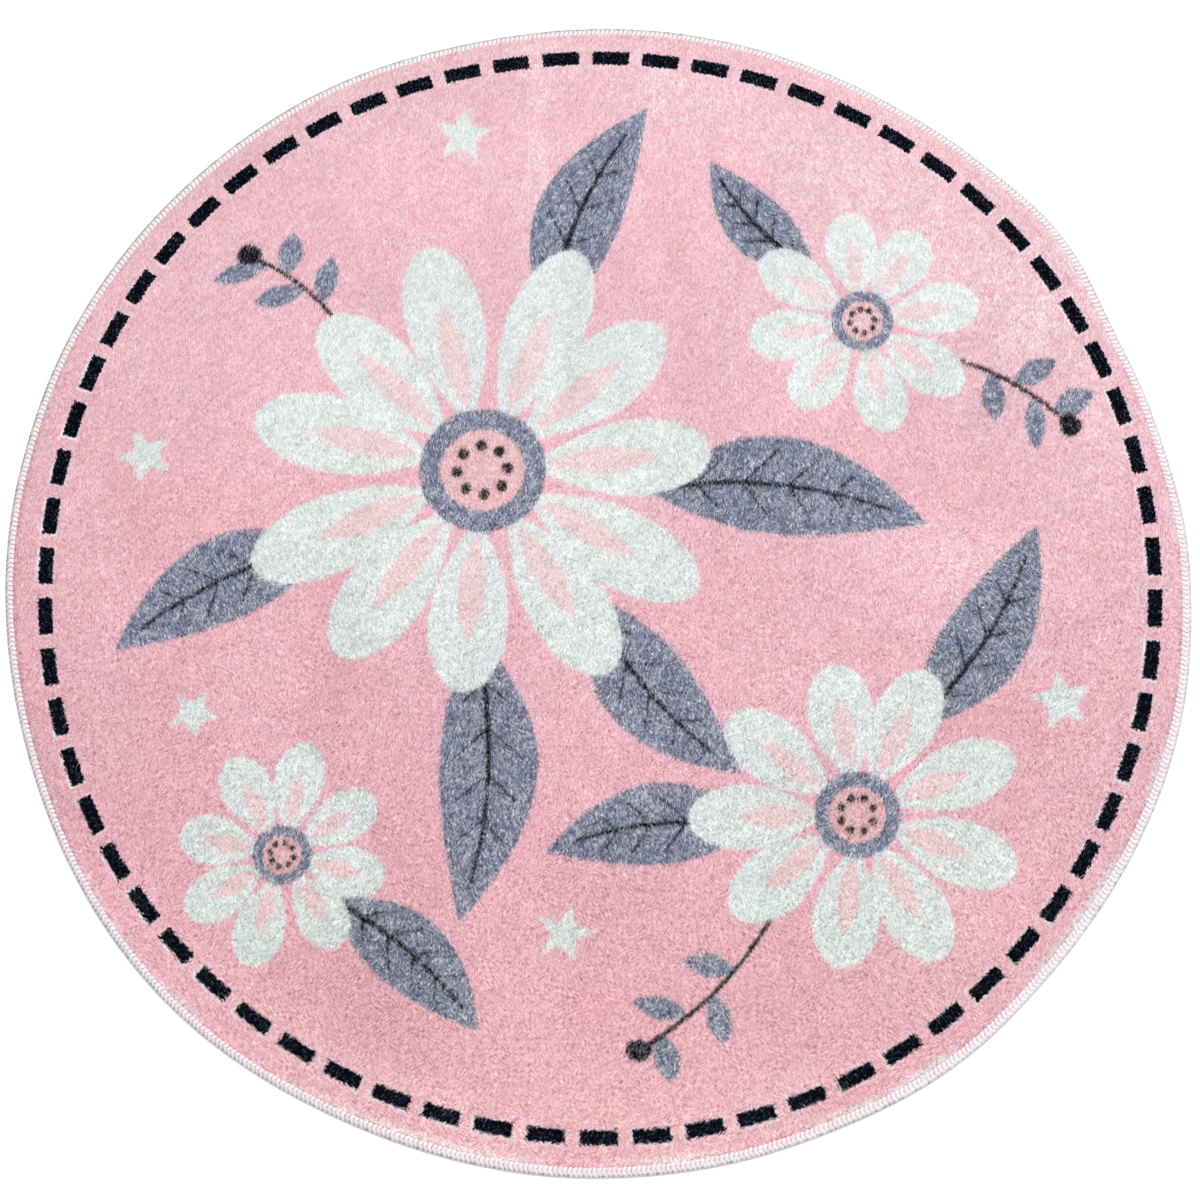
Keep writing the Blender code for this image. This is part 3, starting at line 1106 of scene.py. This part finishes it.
def tubes(paths, across, half_width, half_height):
    """Points and faces of one closed tube with THREAD_SIDES sides along each path.

    paths is an array of (tube, step, x y z), and across the sideways direction of each tube. The
    section is an ellipse, half_width along across and half_height out of it, set for each step.
    """
    count, steps, _ = paths.shape
    along = np.gradient(paths, axis=1)
    along /= np.linalg.norm(along, axis=2, keepdims=True)
    out = np.cross(along, across)
    out /= np.linalg.norm(out, axis=2, keepdims=True)
    across = np.cross(out, along)
    turn = math.tau * np.arange(THREAD_SIDES) / THREAD_SIDES
    wide = np.broadcast_to(half_width, (count, steps))[:, :, None, None] * np.cos(turn)[:, None]
    high = np.broadcast_to(half_height, (count, steps))[:, :, None, None] * np.sin(turn)[:, None]
    section = across[:, :, None] * wide + out[:, :, None] * high
    points = (paths[:, :, None] + section).reshape(-1, 3)
    # Two four-cornered faces close each six-sided end
    cap = np.array([(0, 1, 2, 3), (0, 3, 4, 5)])
    far_cap = cap + (steps - 1) * THREAD_SIDES
    faces = np.concatenate([ring_faces(steps, THREAD_SIDES), cap[:, ::-1], far_cap])
    first = steps * THREAD_SIDES * np.arange(count)[:, None, None]
    return points, (first + faces).reshape(-1, 4)


def thread_colours(rng, start, thread_shade, flank_shade):
    """Every tube point's colour: white or pinkish, with pinkish painted shade on the flanks and grey
    painted shade.
    """
    pink = rng.uniform(0, 1, (STITCHES, 1, 1)) ** 2
    unshaded = np.array(THREAD_WHITE) * (1 - pink) + np.array(THREAD_PINK) * pink
    # Painted shade: the thread is darker at the top of the rug and lighter at the bottom
    unshaded = unshaded * (1 - DARKER_AT_TOP * np.sin(start))[:, :, None]
    # Grey painted shade lies evenly at the top of the rug and gathers on one flank at the bottom
    uneven = np.clip(0.45 - 0.8 * np.sin(start), 0, 1)[:, :, None]
    gathered = 1 + uneven * (np.array(SHADE_GATHERED) - 1)
    thread_shade = (thread_shade * rng.uniform(*SHADE_LUCK, (STITCHES, 1)))[:, :, None] * gathered
    thread_shade = np.clip(thread_shade, 0, 1)[..., None]
    colours = unshaded[:, :, None] * (1 - thread_shade) + np.array(THREAD_SHADED_GREY) * thread_shade
    # The flanks take a pinkish painted shade
    flank = np.array(FLANKS)[:, None]
    return (colours * (1 - flank + flank * np.array(flank_shade))).reshape(-1, 3)


def sew(name, material, rng, start, paths, half_width, half_height, thread_shade, flank_shade):
    """One piece of thread tubes, which start at these angles and lie along these paths."""
    along_rim = np.stack([-np.sin(start), np.cos(start), 0 * start], axis=-1)
    points, faces = tubes(paths, along_rim, half_width, half_height)
    piece = new_piece(name, points, faces, material)
    colour_points(piece, thread_colours(rng, start, thread_shade, flank_shade))
    return piece


def make_stitches(material):
    """The overlock: one stitch of thread after another, wrapped round the rim."""
    rng = np.random.default_rng(14)
    pitch = math.tau / STITCHES
    start = pitch * (np.arange(STITCHES) + rng.uniform(-STITCH_STRAY, STITCH_STRAY, STITCHES))[:, None]
    wrap = np.array(STITCH_WRAP)
    angle = start + pitch * np.linspace(-STITCH_SLANT, STITCH_SLANT, len(wrap))
    # How much grey painted shade each stitch takes, by its row and by the rim's bearing
    thread_shade = wrap[:, 4] * rim_look(start)[0]
    stray_in = rng.normal(0, STITCH_STRAY_IN, (STITCHES, 1))
    inset = wrap[:, 0] * MM * band_width(start) / BAND_WIDTH + stray_in
    stray_up = rng.uniform(-STITCH_STRAY_UP, STITCH_STRAY_UP, (STITCHES, 1))
    level = np.maximum(wrap[:, 1] * MM + stray_up, THREAD_LOWEST)
    paths = rim_point(angle, inset, level)
    half_width = wrap[:, 2] * MM * rng.uniform(*STITCH_WIDTHS, (STITCHES, 1))
    sizes = (half_width, wrap[:, 3] * MM)
    return sew("edge_stitches", material, rng, start, paths, *sizes, thread_shade, THREAD_FLANK)


def make_chain(material):
    """The plump loops along the inner side of the overlock, one across each stitch."""
    rng = np.random.default_rng(15)
    pitch = math.tau / STITCHES
    share = np.linspace(-1, 1, LOOP_STEPS)
    start = pitch * (np.arange(STITCHES)[:, None] + rng.uniform(-0.05, 0.05, (STITCHES, 1)))
    inset = LOOP_INSET + LOOP_REACH * share + rng.normal(0, LOOP_STRAY, (STITCHES, 1))
    inset = inset * MM * band_width(start) / BAND_WIDTH
    level = BAND_LEVEL + (LOOP_RISE - LOOP_DIP * share**2) * MM
    paths = rim_point(start + pitch * LOOP_SLANT * share, inset, level + 0 * inset)
    plump = 1 - LOOP_THINNING * share**4
    sizes = (LOOP_HALF_WIDTH * plump, LOOP_HALF_HEIGHT * plump)
    # The loops take no grey painted shade, only the pinkish painted shade on their flanks
    return sew("edge_chain", material, rng, start, paths, *sizes, 0 * share, LOOP_FLANK)


# ------------ floor, light and camera
def make_floor():
    """A wide pale floor, which belongs to the stage and not to the rug."""
    data = bpy.data.meshes.new("floor")
    half = FLOOR_HALF_WIDTH
    corners = [(-half, -half), (half, -half), (half, half), (-half, half)]
    data.from_pydata([(x, y, FLOOR_LEVEL) for x, y in corners], [], [(0, 1, 2, 3)])
    floor = add_object("floor", data)
    material, _, shader = new_material("floor_paint", roughness=0.9, sheen=0.0)
    shader.inputs["Base Color"].default_value = FLOOR_GREY
    data.materials.append(material)


def set_light():
    """An even white world and one large soft lamp above, which faces the middle of the rug."""
    world = bpy.data.worlds.new("studio")
    world.use_nodes = True
    background = world.node_tree.nodes["Background"]
    background.inputs["Color"].default_value = (1, 1, 1, 1)
    background.inputs["Strength"].default_value = WORLD_STRENGTH
    bpy.context.scene.world = world
    lamp = bpy.data.lights.new("key_light", "AREA")
    lamp.shape = "DISK"
    lamp.size = KEY_LIGHT_WIDTH
    lamp.energy = KEY_LIGHT_WATTS
    key_light = add_object("key_light", lamp)
    key_light.location = KEY_LIGHT_PLACE
    key_light.rotation_euler = (-Vector(KEY_LIGHT_PLACE)).to_track_quat("-Z", "Y").to_euler()
    bpy.context.scene.view_settings.view_transform = "Standard"


def set_camera():
    """The photo's view: almost straight down, from a little below the print and to its right."""
    tilt, bearing = math.radians(VIEW_TILT), math.radians(VIEW_BEARING)
    aside = math.sin(tilt)
    back = Vector((math.sin(bearing) * aside, -math.cos(bearing) * aside, math.cos(tilt)))
    up = (Vector((0, 1, 0)) - back * back.y).normalized()
    right = up.cross(back)
    turn = Matrix((right, up, back)).transposed().to_4x4()
    roll = Matrix.Rotation(math.radians(VIEW_ROLL), 4, "Z")
    lens = bpy.data.cameras.new("camera")
    lens.lens = LENS_MM
    lens.sensor_width = SENSOR_MM
    camera = add_object("camera", lens)
    place = Matrix.Translation(Vector(VIEW_TARGET) + VIEW_DISTANCE * back)
    camera.matrix_world = place @ turn @ roll
    bpy.context.scene.camera = camera


pile = pile_material()
thread = thread_material()
tufts = make_pile(pile)
ground = make_ground(pile)
back = make_back(back_material())
stitches = make_stitches(thread)
chain = make_chain(thread)
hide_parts("pile_cloth")
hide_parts("edge_overlock")
make_floor()
set_light()
set_camera()
